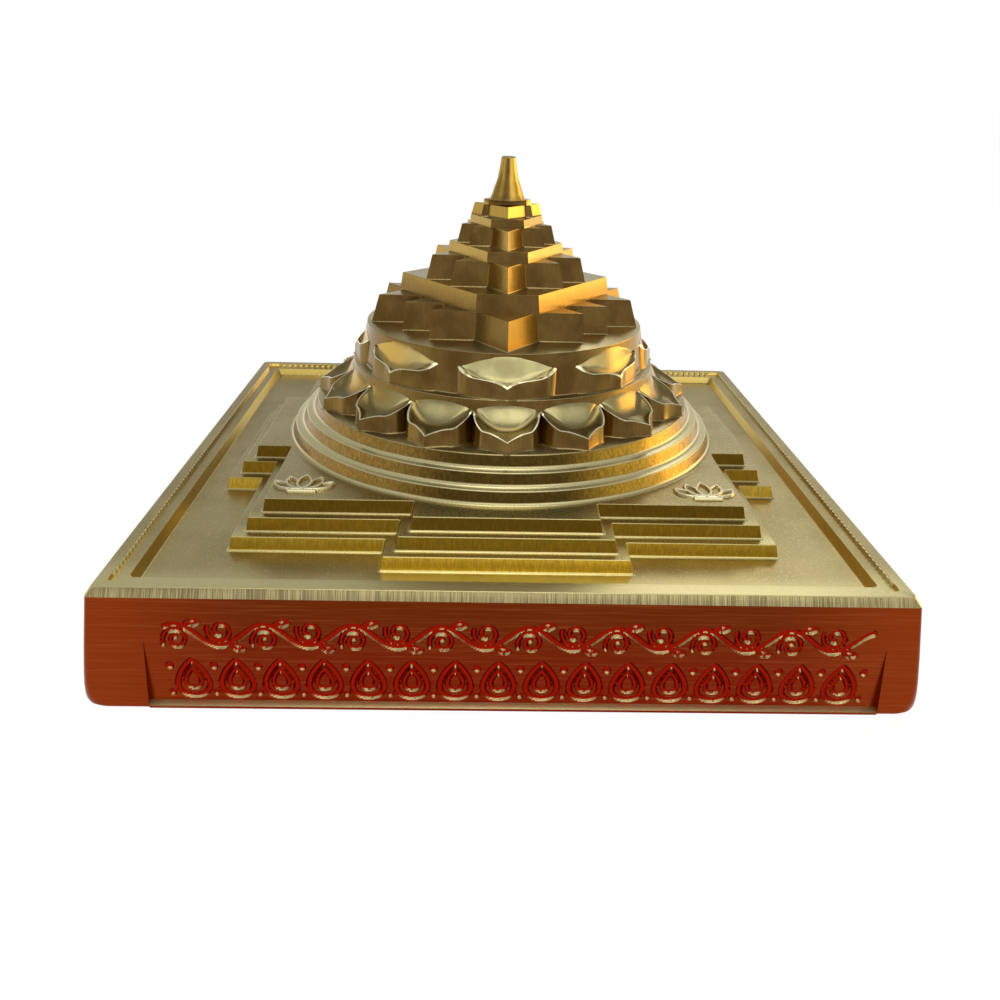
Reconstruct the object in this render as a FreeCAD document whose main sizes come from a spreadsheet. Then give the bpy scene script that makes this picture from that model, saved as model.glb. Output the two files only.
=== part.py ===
import FreeCAD, Part
import math
import os
import Sketcher
from FreeCAD import Placement, Rotation, Vector

# Shri yantra of the raised kind: a square plinth, three square walks with gates, three round
# girdles, sixteen petals, eight petals, nine tiers of interlaced triangles and the summit drop.
# Millimetres and degrees, +Z up, the front toward -Y, origin at the centre of the plinth's foot.

doc = FreeCAD.newDocument("shri_yantra")
sheet = doc.addObject("Spreadsheet::Sheet", "sizes")

# The driving sizes, kept in the sheet under their own names
SIZES = {
    # Plinth
    "plinth_width": 80,
    "plinth_height": 12,
    "plinth_draft": 6.9,
    "plinth_corner_radius": 2.6,
    "plinth_foot_bevel": 0.4,
    "plinth_edge_drop": 0.7,
    "plinth_edge_inset": 0.35,
    "rim_width": 1.1,
    "rim_depth": 0.4,
    "ledge_width": 1.7,
    "field_depth": 1.3,
    "panel_width": 67,
    "panel_foot_depth": 1,

    # Square walks with a gate in the middle of each side
    "field_margin": 3.3,
    "walk_height": 1.48,
    "walk_step": 1.5,
    "walk_draft": 11.9,
    "gate_width": 25,
    "gate_step": 1.4,
    "gate_reach": 3.95,

    # Round girdles
    "girdle_margin": 3.1,
    "girdle_height": 1.48,
    "girdle_step": 1.37,
    "girdle_draft": 19.4,

    # Ring of sixteen petals
    "sixteen_height": 4.44,
    "sixteen_drum_draft": 11.5,
    "sixteen_petal_reach": 3.64,
    "sixteen_petal_gap": 0.1,
    "sixteen_tip_length": 1.24,
    "sixteen_shoulder_round": 1.5,
    "sixteen_petal_draft": 8,
    "sixteen_back_height": 3.75,
    "sixteen_tip_height": 1.2,
    "sixteen_rim_width": 0.35,
    "sixteen_dish_radius": 5.6,
    "sixteen_floor_inset": 2.74,
    "sixteen_floor_height": 1.8,

    # Ring of eight petals
    "eight_height": 4.6,
    "eight_drum_draft": 7.4,
    "eight_petal_reach": 1.1,
    "eight_petal_gap": 3.25,
    "eight_tip_length": 0.7,
    "eight_shoulder_round": 1.2,
    "eight_petal_draft": 8,
    "eight_back_height": 3.7,
    "eight_tip_height": 1.1,
    "eight_rim_width": 0.25,
    "eight_dish_radius": 80,
    "eight_floor_inset": 1.1,
    "eight_floor_height": 1.8,

    # Nine interlaced triangles inside one circle
    "star_margin": 0.4,
    "star_draft": 8,
    "fourteen_point_tier_height": 3.17,
    "first_hexagon_tier_height": 1.98,
    "outer_ten_point_tier_height": 2.78,
    "second_hexagon_tier_height": 1.13,
    "inner_ten_point_tier_height": 2.12,
    "third_hexagon_tier_height": 0.88,
    "eight_point_tier_height": 1.34,
    "fourth_hexagon_tier_height": 0.6,
    "central_triangle_height": 1.2,

    # Summit drop
    "drop_foot_radius": 1.35,
    "drop_top_radius": 0.75,
    "drop_height": 3.5,
    "drop_bevel": 0.2,

    # Heights of the nine base lines above the centre, as shares of the circle's radius
    "line_one_share": 0.731,
    "line_two_share": 0.521,
    "line_three_share": 0.325,
    "line_four_share": 0.232,
    "line_five_share": 0.120,
    "line_six_share": -0.032,
    "line_seven_share": -0.189,
    "line_eight_share": -0.434,
    "line_nine_share": -0.685,

    # Crossings closer together than this share of the radius count as one
    "crossing_share": 0.01,
}
for row, (name, number) in enumerate(SIZES.items(), 1):
    sheet.set(f"A{row}", str(number))
    sheet.setAlias(f"A{row}", name)
doc.recompute()

WALKS = ("outer_walk", "middle_walk", "inner_walk")
GIRDLES = ("outer_girdle", "middle_girdle", "inner_girdle")
OUTER_PETALS = 16
INNER_PETALS = 8
SIDES = 4
FULL_TURN = 360
XY = "XY_Plane"
XZ = "XZ_Plane"
YZ = "YZ_Plane"


def value(expression):
    """The number that an expression over the sheet gives at present."""
    return float(sheet.evalExpression(expression))


def new_body(name, seat):
    """Start a body whose foot stands at the height that the expression gives."""
    body = doc.addObject("PartDesign::Body", name)
    body.Label = name
    body.setExpression("Placement.Base.z", seat)
    return body


def new_sketch(body, name, role, lift=None):
    sketch = body.newObject("Sketcher::SketchObject", name)
    plane = next(item for item in body.Origin.OriginFeatures if item.Role == role)
    sketch.AttachmentSupport = [(plane, "")]
    sketch.MapMode = "FlatFace"
    if lift:
        sketch.setExpression("AttachmentOffset.Base.z", lift)
    return sketch


def draw_outline(sketch, corners):
    """Draw a closed outline and bind it to its corners, each a pair of expressions.

    A third expression bends the stretch to the next corner: it is the radius of an arc that turns
    left, or right where its sign is minus.
    """
    spots = [Vector(value(corner[0]), value(corner[1]), 0) for corner in corners]
    ends = []
    for corner, spot, following in zip(corners, spots, spots[1:] + spots[:1]):
        radius = value(corner[2]) if len(corner) == 3 else 0
        if radius:
            sketch.addGeometry(arc_between(spot, following, radius))
        else:
            sketch.addGeometry(Part.LineSegment(spot, following))
        ends.append((2, 1) if radius < 0 else (1, 2))
    for index, corner in enumerate(corners):
        following = (index + 1) % len(corners)
        start, end = ends[index]
        link = Sketcher.Constraint("Coincident", index, end, following, ends[following][0])
        sketch.addConstraint(link)
        bind(sketch, index, start, "DistanceX", corner[0], spots[index].x)
        bind(sketch, index, start, "DistanceY", corner[1], spots[index].y)
        if len(corner) == 3:
            bend = sketch.addConstraint(Sketcher.Constraint("Radius", index, abs(value(corner[2]))))
            sketch.setExpression(f"Constraints[{bend}]", f"abs({corner[2]})")


def arc_between(start, end, radius):
    """The short arc of that radius from start to end, turning left, or right if it is negative."""
    half = (end - start) / 2
    inward = Vector(-half.y, half.x, 0).normalize() * math.copysign(1, radius)
    centre = start + half + inward * math.sqrt(radius ** 2 - half.Length ** 2)
    first, last = (start, end) if radius > 0 else (end, start)
    angles = [math.atan2(spot.y - centre.y, spot.x - centre.x) for spot in (first, last)]
    return Part.ArcOfCircle(Part.Circle(centre, Vector(0, 0, 1), abs(radius)), *angles)


def bind(sketch, line, end, kind, expression, now):
    """Hold an end of a line at the distance from the centre that the expression gives."""
    if expression == "0":
        axis = -2 if kind == "DistanceX" else -1
        sketch.addConstraint(Sketcher.Constraint("PointOnObject", line, end, axis))
        return
    number = sketch.addConstraint(Sketcher.Constraint(kind, -1, 1, line, end, now))
    sketch.setExpression(f"Constraints[{number}]", expression)


def draw_loop(sketch, spots):
    """Draw a closed outline through corners that are worked out in code."""
    for spot, following in zip(spots, spots[1:] + spots[:1]):
        sketch.addGeometry(Part.LineSegment(Vector(*spot, 0), Vector(*following, 0)))


def square(half):
    return [(f"-({half})", f"-({half})"), (half, f"-({half})"), (half, half), (f"-({half})", half)]


def rounded_square(half, radius):
    """A square of that half width whose corners are quarter circles."""
    inner = f"({half} - {radius})"
    side = [(f"-{inner}", f"-({half})"), (inner, f"-({half})", radius)]
    outline = []
    for quarter in range(SIDES):
        outline += side
        side = [(negated(corner[1]), corner[0], *corner[2:]) for corner in side]
    return outline


def pad(body, name, sketch, length, draft=None):
    feature = body.newObject("PartDesign::Pad", name)
    feature.Profile = sketch
    feature.setExpression("Length", length)
    if draft:
        feature.setExpression("TaperAngle", f"-{draft}")
    doc.recompute()
    return feature


def pocket(body, name, sketch, depth, upward=False):
    """Cut down from the sketch, or up from it where the cut starts at the foot."""
    feature = body.newObject("PartDesign::Pocket", name)
    feature.Profile = sketch
    feature.Reversed = upward
    feature.setExpression("Length", depth)
    doc.recompute()
    return feature


def around(body, name, feature, count):
    """Repeat a feature evenly round the upright axis."""
    axis = next(item for item in body.Origin.OriginFeatures if item.Role == "Z_Axis")
    pattern = body.newObject("PartDesign::PolarPattern", name)
    pattern.Originals = [feature]
    pattern.Axis = (axis, [""])
    pattern.Angle = FULL_TURN
    pattern.Occurrences = count
    body.Tip = pattern
    doc.recompute()
    return pattern


def turn(body, name, sketch, kind="PartDesign::Revolution", axis="V_Axis"):
    """Turn a profile once round an axis of its sketch, the upright one unless another is named."""
    feature = body.newObject(kind, name)
    feature.Profile = sketch
    feature.ReferenceAxis = (sketch, [axis])
    feature.Angle = FULL_TURN
    doc.recompute()
    return feature


def dress(body, kind, name, base, edges, amount):
    """Round or bevel the named edges of a feature."""
    feature = body.newObject(kind, name)
    feature.Base = (base, edges)
    feature.setExpression("Radius" if kind.endswith("Fillet") else "Size", amount)
    doc.recompute()
    return feature


def edges_where(feature, wanted):
    return [f"Edge{index}" for index, edge in enumerate(feature.Shape.Edges, 1) if wanted(edge)]


def lies_at(height):
    """A test for level edges at one height above the body's foot."""
    def wanted(edge):
        heights = [edge.CenterOfMass.z] + [vertex.Z for vertex in edge.Vertexes]
        return all(math.isclose(spot, height, abs_tol=edge.Tolerance) for spot in heights)
    return wanted


# Half widths of the plinth's foot, of its flat top and of the sunken field
PLINTH_HALF = "(sizes.plinth_width / 2)"
TOP_HALF = f"({PLINTH_HALF} - sizes.plinth_height * tan(sizes.plinth_draft) - sizes.plinth_edge_inset)"
FIELD_HALF = f"({TOP_HALF} - sizes.rim_width - sizes.ledge_width)"


def make_plinth():
    body = new_body("plinth", "0 mm")
    foot = new_sketch(body, "plinth_foot_outline", XY)
    draw_outline(foot, rounded_square(PLINTH_HALF, "sizes.plinth_corner_radius"))
    block = pad(body, "plinth_block", foot, "sizes.plinth_height", "sizes.plinth_draft")
    top = edges_where(block, lies_at(value("sizes.plinth_height")))
    edge = dress(body, "PartDesign::Chamfer", "plinth_edge", block, top, "sizes.plinth_edge_drop")
    edge.ChamferType = "Two distances"
    edge.setExpression("Size2", "sizes.plinth_edge_inset")
    doc.recompute()
    dress(body, "PartDesign::Chamfer", "plinth_foot_edge", edge, edges_where(edge, lies_at(0)),
          "sizes.plinth_foot_bevel")
    panel = new_sketch(body, "panel_outline", XY)
    side = "sizes.panel_width / 2"
    back = f"-({PLINTH_HALF} - sizes.panel_foot_depth)"
    front = f"-({PLINTH_HALF} + sizes.panel_foot_depth)"
    draw_outline(panel, [(f"-{side}", front), (side, front), (side, back), (f"-{side}", back)])
    cut = pocket(body, "panel_cut", panel, "sizes.plinth_height", upward=True)
    around(body, "panel_cuts", cut, SIDES)
    ledge = new_sketch(body, "ledge_outline", XY, "sizes.plinth_height")
    draw_outline(ledge, square(f"{TOP_HALF} - sizes.rim_width"))
    pocket(body, "ledge_cut", ledge, "sizes.rim_depth")
    field = new_sketch(body, "field_outline", XY, "sizes.plinth_height")
    draw_outline(field, square(FIELD_HALF))
    pocket(body, "field_cut", field, "sizes.field_depth")
    return body


def gate_reach(level):
    """How far out the gates of a walk stand."""
    return f"({FIELD_HALF} - sizes.field_margin - {level} * sizes.walk_step)"


def make_walk(name, seat, level):
    """A square step whose four sides each carry a gate, smaller at each level."""
    body = new_body(name, seat)
    reach = gate_reach(level)
    half = f"({reach} - sizes.gate_reach)"
    gate = f"(sizes.gate_width / 2 - {level} * sizes.gate_step)"
    side = [(f"-{half}", f"-{half}"), (f"-{gate}", f"-{half}"), (f"-{gate}", f"-{reach}"),
            (gate, f"-{reach}"), (gate, f"-{half}")]
    outline = []
    for quarter in range(SIDES):
        outline += side
        side = [(negated(up), across) for across, up in side]
    sketch = new_sketch(body, f"{name}_outline", XY)
    draw_outline(sketch, outline)
    pad(body, f"{name}_block", sketch, "sizes.walk_height", "sizes.walk_draft")
    return body


def negated(expression):
    return expression[1:] if expression.startswith("-") else f"-{expression}"


def make_disc(name, seat, foot, top, height):
    """A round tier with a sloping wall."""
    body = new_body(name, seat)
    sketch = new_sketch(body, f"{name}_profile", XZ)
    draw_outline(sketch, [("0", "0"), (foot, "0"), (top, height), ("0", height)])
    turn(body, f"{name}_turned", sketch)
    return body


def girdle_foot(level):
    """The foot radius of a girdle: the lowest one stands back from the gates of the walk below."""
    return f"({gate_reach(len(WALKS) - 1)} - sizes.girdle_margin - {level} * sizes.girdle_step)"


def narrowed(radius, height, draft):
    """The radius left at a height above the foot of a sloping wall."""
    return f"({radius} - {height} * tan({draft}))"


def make_girdle(name, seat, level):
    top = narrowed(girdle_foot(level), "sizes.girdle_height", "sizes.girdle_draft")
    return make_disc(name, seat, girdle_foot(level), top, "sizes.girdle_height")


def petal_outline(half, shoulder, curve, tip, inner):
    """A petal seen from above, pointing to the front: straight sides, round shoulders, ogee tip."""
    centre = f"({half} - {curve})"
    edge = f"({shoulder} - {curve})"
    rise = f"({tip} - {shoulder})"
    hollow = f"(({centre} ^ 2 + {rise} ^ 2) / (2 * {rise}))"
    return [(f"-{half}", f"-{inner}"), (f"-{half}", f"-{edge}", curve),
            (f"-{centre}", f"-{shoulder}", f"-{hollow}"), ("0", f"-{tip}", f"-{hollow}"),
            (centre, f"-{shoulder}", curve), (half, f"-{edge}"), (half, f"-{inner}")]


def scoop(body, name, profile, radius):
    """Hollow out a dish whose front profile runs from a low spot over the floor to a high one.

    The profile is turned about a line above it that runs as the low spot does to the high one and
    keeps the radius from the floor.
    """
    low, floor, high = profile
    run, rise = f"({high[0]} - {low[0]})", f"({high[1]} - {low[1]})"
    chord = f"sqrt({run} ^ 2 + {rise} ^ 2)"
    depth = f"((({floor[0]} - {low[0]}) * {rise} - ({floor[1]} - {low[1]}) * {run}) / {chord})"
    lift = f"(({radius} - {depth}) / {chord})"
    axis = [(f"({spot[0]} - {rise} * {lift})", f"({spot[1]} + {run} * {lift})") for spot in (low, high)]
    sketch = new_sketch(body, f"{name}_profile", YZ)
    draw_outline(sketch, [axis[0], *profile, axis[1]])
    ends = [Vector(value(across), value(up), 0) for across, up in axis]
    line = sketch.addGeometry(Part.LineSegment(*ends), True)
    for end, (across, up) in enumerate(axis, 1):
        bind(sketch, line, end, "DistanceX", across, ends[end - 1].x)
        bind(sketch, line, end, "DistanceY", up, ends[end - 1].y)
    return turn(body, name, sketch, "PartDesign::Groove", "Axis0")


def own(kind, part):
    return f"sizes.{kind}_{part}"


def drum_at(kind, tip, height):
    """The radius of the drum behind the petals at a height above its foot."""
    return narrowed(f"({tip} - {own(kind, 'petal_reach')})", height, own(kind, "drum_draft"))


def make_petals(name, seat, kind, count, tip):
    """A drum ringed with lotus petals: each is a drafted ogee with a sloping, hollowed top."""
    height, tall, low = (own(kind, part) for part in ("height", "back_height", "tip_height"))
    body = make_disc(name, seat, drum_at(kind, tip, "0"), drum_at(kind, tip, height), height)
    pitch = f"({drum_at(kind, tip, '0')} * tan({FULL_TURN / 2} / {count}))"
    half = f"({pitch} - {own(kind, 'petal_gap')} / 2)"
    shoulder = f"({tip} - {own(kind, 'tip_length')})"
    outline = new_sketch(body, f"{name}_petal_outline", XY)
    draw_outline(outline, petal_outline(half, shoulder, own(kind, "shoulder_round"), tip,
                                        f"({drum_at(kind, tip, height)} / 2)"))
    petal = pad(body, f"{name}_petal", outline, tall, own(kind, "petal_draft"))
    around(body, f"{name}_petals", petal, count)
    crown = new_sketch(body, f"{name}_crown_profile", XZ)
    back = drum_at(kind, tip, tall)
    draw_outline(crown, [(tip, tall), (back, tall), (tip, low)])
    turn(body, f"{name}_crown", crown, "PartDesign::Groove")
    rim = own(kind, "rim_width")
    fall = f"(({tall} - {low}) / ({tip} - {back}))"
    front = (f"-({tip} - {rim})", f"({low} + {rim} * {fall})")
    floor = (f"-({tip} - {own(kind, 'floor_inset')})", own(kind, "floor_height"))
    dish = scoop(body, f"{name}_dish", [front, floor, (f"-{back}", tall)], own(kind, "dish_radius"))
    around(body, f"{name}_dishes", dish, count)
    return body


def crossing(first, second):
    """Where two lines meet, each given as the sideways part, the upward part and the reach."""
    spread = first[0] * second[1] - first[1] * second[0]
    across = (first[2] * second[1] - first[1] * second[2]) / spread
    up = (first[0] * second[2] - first[2] * second[0]) / spread
    return across, up


def turn_of(a, b, c):
    """Positive where the path from a over b to c turns left."""
    return (b[0] - a[0]) * (c[1] - a[1]) - (b[1] - a[1]) * (c[0] - a[0])


def nine_triangles():
    """The nine triangles in a circle of radius one, each as three corners turning left.

    Each stands or hangs between its own base line and the middle of another base line. The third
    and the seventh have their corners on the circle and their points at its foot and head. The
    others end where their sides pass through the crossings of the sides and base lines before.
    """
    names = ("one", "two", "three", "four", "five", "six", "seven", "eight", "nine")
    line = {number: value(f"sizes.line_{name}_share") for number, name in enumerate(names, 1)}
    point = {1: line[6], 2: line[9], 3: -1, 4: line[8], 5: line[7],
             6: line[2], 7: 1, 8: line[1], 9: line[3]}
    half = {}

    def side_at(number, height):
        """How far out the side of a triangle is at a height."""
        return half[number] * (height - point[number]) / (line[number] - point[number])

    def fit_side(number, height, reach):
        half[number] = reach * (line[number] - point[number]) / (height - point[number])

    half[3] = math.sqrt(1 - line[3] ** 2)
    half[7] = math.sqrt(1 - line[7] ** 2)
    fit_side(1, line[2], side_at(7, line[2]))
    fit_side(2, line[3], side_at(7, line[3]))
    fit_side(8, line[7], side_at(3, line[7]))
    fit_side(9, line[8], side_at(3, line[8]))
    half[4] = side_at(8, line[4])
    half[6] = side_at(2, line[6])
    half[5] = side_at(4, line[5])
    triangles = []
    for number in line:
        corners = [(-half[number], line[number]), (half[number], line[number]), (0, point[number])]
        if turn_of(*corners) < 0:
            corners.reverse()
        triangles.append(corners)
    return triangles


def covers(triangle, spot):
    return all(turn_of(triangle[i - 1], triangle[i], spot) > 0 for i in range(3))


def cuts_along(start, end, triangles, gap):
    """The shares of a side at which the sides of the triangles cross it, with both its ends."""
    near = gap ** 2
    shares = [0, 1]
    for other in triangles:
        for i in range(3):
            low, high = other[i - 1], other[i]
            before, after = turn_of(low, high, start), turn_of(low, high, end)
            left, right = turn_of(start, end, low), turn_of(start, end, high)
            if abs(before - after) > near and min(left, right) < near and max(left, right) > -near:
                shares.append(min(1, max(0, before / (before - after))))
    return sorted(shares)


def covered_outline(triangles, times, gap):
    """The outline of the region that lies inside at least so many of the triangles.

    A stretch of a side belongs to it where one less than that many of the other triangles cover
    it. Crossings nearer than the gap are one corner.
    """
    corners = []

    def corner(spot):
        for index, known in enumerate(corners):
            if math.dist(spot, known) < gap:
                return index
        corners.append(spot)
        return len(corners) - 1

    following = {}
    for triangle in triangles:
        others = [other for other in triangles if other is not triangle]
        for i in range(3):
            start, end = Vector(*triangle[i - 1], 0), Vector(*triangle[i], 0)
            shares = cuts_along(triangle[i - 1], triangle[i], others, gap)
            for low, high in zip(shares, shares[1:]):
                first, last = start + (end - start) * low, start + (end - start) * high
                if first.distanceToPoint(last) < gap:
                    continue
                middle = (first + last) / 2
                if sum(covers(other, middle) for other in others) == times - 1:
                    following[corner((first.x, first.y))] = corner((last.x, last.y))
    path = [next(iter(following))]
    while following[path[-1]] != path[0]:
        path.append(following[path[-1]])
    outline = [corners[index] for index in path]
    return [spot for i, spot in enumerate(outline)
            if abs(turn_of(outline[i - 1], spot, outline[(i + 1) % len(outline)])) > gap ** 2]


def moved_out(outline, distance):
    """The same outline with every side moved outward by the distance."""
    lines = []
    for i, end in enumerate(outline):
        start = outline[i - 1]
        length = math.dist(start, end)
        across, up = (end[1] - start[1]) / length, (start[0] - end[0]) / length
        lines.append((across, up, across * end[0] + up * end[1] + distance))
    return [crossing(lines[i], lines[(i + 1) % len(lines)]) for i in range(len(lines))]


def star_outlines(radius):
    gap = value("sizes.crossing_share")
    triangles = nine_triangles()
    outlines = []
    for times in range(1, len(triangles) + 1):
        unit = covered_outline(triangles, times, gap)
        outlines.append([(across * radius, up * radius) for across, up in unit])
    return outlines


def make_star_tiers(seat, radius):
    """Nine tiers: odd ones stand on their outline, even ones end in it at their top.

    So each point of an odd tier just meets the edge of the tier below it, and each even tier
    rests wholly on the odd one below, whose corners are filled up to its foot.
    """
    tiers = ("fourteen_point_tier", "first_hexagon_tier", "outer_ten_point_tier", "second_hexagon_tier",
             "inner_ten_point_tier", "third_hexagon_tier", "eight_point_tier", "fourth_hexagon_tier",
             "central_triangle")
    outlines = star_outlines(value(radius))
    feet = []
    for index, name in enumerate(tiers):
        spread = value(f"sizes.{name}_height * tan(sizes.star_draft)")
        feet.append(moved_out(outlines[index], spread) if index % 2 else outlines[index])
    bodies = []
    for index, name in enumerate(tiers):
        height = f"sizes.{name}_height"
        body = new_body(name, seat)
        foot = new_sketch(body, f"{name}_foot", XY)
        draw_loop(foot, feet[index])
        top = new_sketch(body, f"{name}_top", XY, height)
        draw_loop(top, moved_out(feet[index], -value(f"{height} * tan(sizes.star_draft)")))
        walls = body.newObject("PartDesign::AdditiveLoft", f"{name}_walls")
        walls.Profile = foot
        walls.Sections = [top]
        walls.Ruled = True
        doc.recompute()
        if index % 2 == 0 and index + 1 < len(tiers):
            core = new_sketch(body, f"{name}_core_outline", XY)
            draw_loop(core, feet[index + 1])
            pad(body, f"{name}_core", core, height)
        bodies.append(body)
        seat = f"{seat} + {height}"
    return bodies, seat


def make_drop(seat):
    body = make_disc("summit_drop", seat, "sizes.drop_foot_radius", "sizes.drop_top_radius",
                     "sizes.drop_height")
    turned = body.Tip
    top = edges_where(turned, lies_at(value("sizes.drop_height")))
    dress(body, "PartDesign::Chamfer", "summit_drop_crown", turned, top, "sizes.drop_bevel")
    return body


pieces = [make_plinth()]
seat = "sizes.plinth_height - sizes.field_depth"
for level, name in enumerate(WALKS):
    pieces.append(make_walk(name, seat, level))
    seat = f"{seat} + sizes.walk_height"
for level, name in enumerate(GIRDLES):
    pieces.append(make_girdle(name, seat, level))
    seat = f"{seat} + sizes.girdle_height"
outer_tip = narrowed(girdle_foot(len(GIRDLES) - 1), "sizes.girdle_height", "sizes.girdle_draft")
pieces.append(make_petals("sixteen_petal_tier", seat, "sixteen", OUTER_PETALS, outer_tip))
seat = f"{seat} + sizes.sixteen_height"
inner_tip = drum_at("sixteen", outer_tip, "sizes.sixteen_height")
pieces.append(make_petals("eight_petal_tier", seat, "eight", INNER_PETALS, inner_tip))
seat = f"{seat} + sizes.eight_height"
star_radius = f"({drum_at('eight', inner_tip, 'sizes.eight_height')} - sizes.star_margin)"
star_tiers, seat = make_star_tiers(seat, star_radius)
pieces += star_tiers
pieces.append(make_drop(seat))

doc.recompute()
for item in doc.Objects:
    if "Invalid" in item.State or "Error" in item.State:
        raise RuntimeError(f"{item.Label} did not rebuild")
os.makedirs("parts", exist_ok=True)
for piece in pieces:
    if piece.Shape.isNull() or not piece.Shape.isValid():
        raise RuntimeError(f"{piece.Label} has no sound shape")
    piece.Shape.exportStep(f"parts/{piece.Label}.step")
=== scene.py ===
import math

import bmesh
import bpy
from mathutils import Matrix, Vector
from mathutils.bvhtree import BVHTree
from mathutils.geometry import intersect_line_line
from mathutils.kdtree import KDTree


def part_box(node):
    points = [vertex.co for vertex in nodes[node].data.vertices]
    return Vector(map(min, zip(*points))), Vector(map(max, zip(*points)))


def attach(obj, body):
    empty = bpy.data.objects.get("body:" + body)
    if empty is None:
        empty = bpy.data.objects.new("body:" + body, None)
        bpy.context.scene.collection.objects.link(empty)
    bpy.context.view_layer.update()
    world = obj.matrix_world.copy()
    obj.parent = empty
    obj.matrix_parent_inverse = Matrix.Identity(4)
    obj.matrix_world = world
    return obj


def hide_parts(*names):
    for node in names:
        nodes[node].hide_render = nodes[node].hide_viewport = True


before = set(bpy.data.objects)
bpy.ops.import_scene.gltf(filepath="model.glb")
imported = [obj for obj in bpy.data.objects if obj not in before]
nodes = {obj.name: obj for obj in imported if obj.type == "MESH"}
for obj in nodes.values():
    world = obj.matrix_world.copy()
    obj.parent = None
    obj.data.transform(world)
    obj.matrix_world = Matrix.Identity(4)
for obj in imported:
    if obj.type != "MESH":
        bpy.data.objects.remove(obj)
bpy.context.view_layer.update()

# Shapes are worked out in millimetres and brought to metres when a piece is closed
MM = 0.001
WELD = 0.001
# Each tier is let this far into the one below, so that their faces don't lie in one plane
SINK = 0.03
UP = Vector((0, 0, 1))

# Camera: where it stands, which way it looks and how wide it sees, in metres and degrees
CAMERA_PLACE = Vector((-0.00351, -0.11369, 0.05442))
CAMERA_TURN = -1.85
CAMERA_DROP = 23.706
CAMERA_TILT = 1.69
CAMERA_LENS = 33.79
CAMERA_SENSOR = 36

# What each tier rests on
SUPPORTS = {
    "outer_walk": "plinth",
    "middle_walk": "outer_walk",
    "inner_walk": "middle_walk",
    "fourteen_point_tier": "eight_petal_tier",
    "first_hexagon_tier": "fourteen_point_tier",
    "outer_ten_point_tier": "first_hexagon_tier",
    "second_hexagon_tier": "outer_ten_point_tier",
    "inner_ten_point_tier": "second_hexagon_tier",
    "third_hexagon_tier": "inner_ten_point_tier",
    "eight_point_tier": "third_hexagon_tier",
    "fourth_hexagon_tier": "eight_point_tier",
    "central_triangle": "fourth_hexagon_tier",
}
WALKS = ("outer_walk", "middle_walk", "inner_walk")
GIRDLES = ("outer_girdle", "middle_girdle", "inner_girdle")

# Plinth. Its corners grow rounder towards the foot: height and radius
PLINTH_DRAFT = math.tan(math.radians(6.9))
PLINTH_CORNERS = ((0, 2.8), (0.3, 2.2), (0.62, 1.8), (1.0, 1.5), (1.4, 1.3), (2.2, 1.0), (3.4, 0.8),
                  (6, 0.6), (12, 0.45))
# How far its sides draw in at the foot: height and inset
FOOT_ROUND = ((0, 0.4), (0.06, 0.22), (0.15, 0.08), (0.3, 0), (0.62, 0), (1.0, 0), (1.4, 0), (2.2, 0),
              (3.4, 0), (6, 0))
EDGE_DROP = 0.85
EDGE_INSET = 0.45
RIM_WIDTH = 1.1
RIM_DEPTH = 0.4
LEDGE_HALF = 35.5
FIELD_HALF = 35.0
FIELD_DEPTH = 1.3
PANEL_START = -33.6
PANEL_END = 35.8
PANEL_TOP = 10.6
PANEL_FACE = 39.15
PANEL_LIP = 0.3
PANEL_BACK = 37.6
PANEL_GRAIN = 0.115
CARVING_DEPTH = 0.34
NOTCH_PITCH = 0.9
NOTCH_DEPTH = 0.2

# Softened edges, rounded inner corners and coves of the walks and of the star tiers
WALK_EDGES = (0.08, 0.24, 0.24)
STAR_EDGES = (0.05, 0.16, 0.16)
# Faces that lean less than this are walls
STEEP = 0.8
GIRDLE_DRAFT = math.tan(math.radians(19.4))
GIRDLE_COVE = 0.36
GIRDLE_EDGE = 0.08

# Lotus petals. side: half the outline from the drum to the tip, as across and reach. wall: reach and
# slope of the drum. crown: the rim's height by reach. arch: where the dish meets the drum, as its height
# and how fast that falls to the sides. The rest shapes the dish, its rim and the flare of the foot
SIXTEEN_PETALS = {
    "side": ((3.56, 17.75), (3.6, 18.4), (3.35, 19.8), (2.7, 20.95), (1.75, 21.4), (0.9, 21.93), (0, 22.65)),
    "wall": (19.1, 0.2027),
    "crown": ((17.0, 3.4), (18.1, 3.35), (18.75, 3.1), (20.08, 2.5), (21.12, 1.92), (21.47, 1.75),
              (21.95, 1.5), (22.74, 1.15)),
    "arch": (3.9, 0.048), "centre": 20.3, "floor": 1.5, "fall": 0.17, "spread": 0.07,
    "rim": 0.17, "flare": 0.07}
EIGHT_PETALS = {
    "side": ((5.32, 15.55), (5.35, 15.8), (4.87, 16.45), (4.03, 17.05), (2.8, 17.42), (1.65, 17.67),
             (0.67, 17.96), (0, 18.2)),
    "wall": (17.1, 0.13),
    "crown": ((15.9, 3.3), (16.6, 3.05), (17.5, 2.15), (18.0, 1.5), (18.3, 1.0)),
    "arch": (4.3, 0.0475), "centre": 17.5, "floor": 1.45, "fall": 0.4, "spread": 0.045,
    "rim": 0.15, "flare": 0.06}
PETAL_SIDE_STEPS = 26
PETAL_BACK_STEPS = 32
DISH_RINGS = 12
# Heights and coves of the petals' outer wall towards its foot
PETAL_FEET = ((0.22, 0), (0.07, 0.06), (0, 0.2), (-SINK, 0.2))

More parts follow.
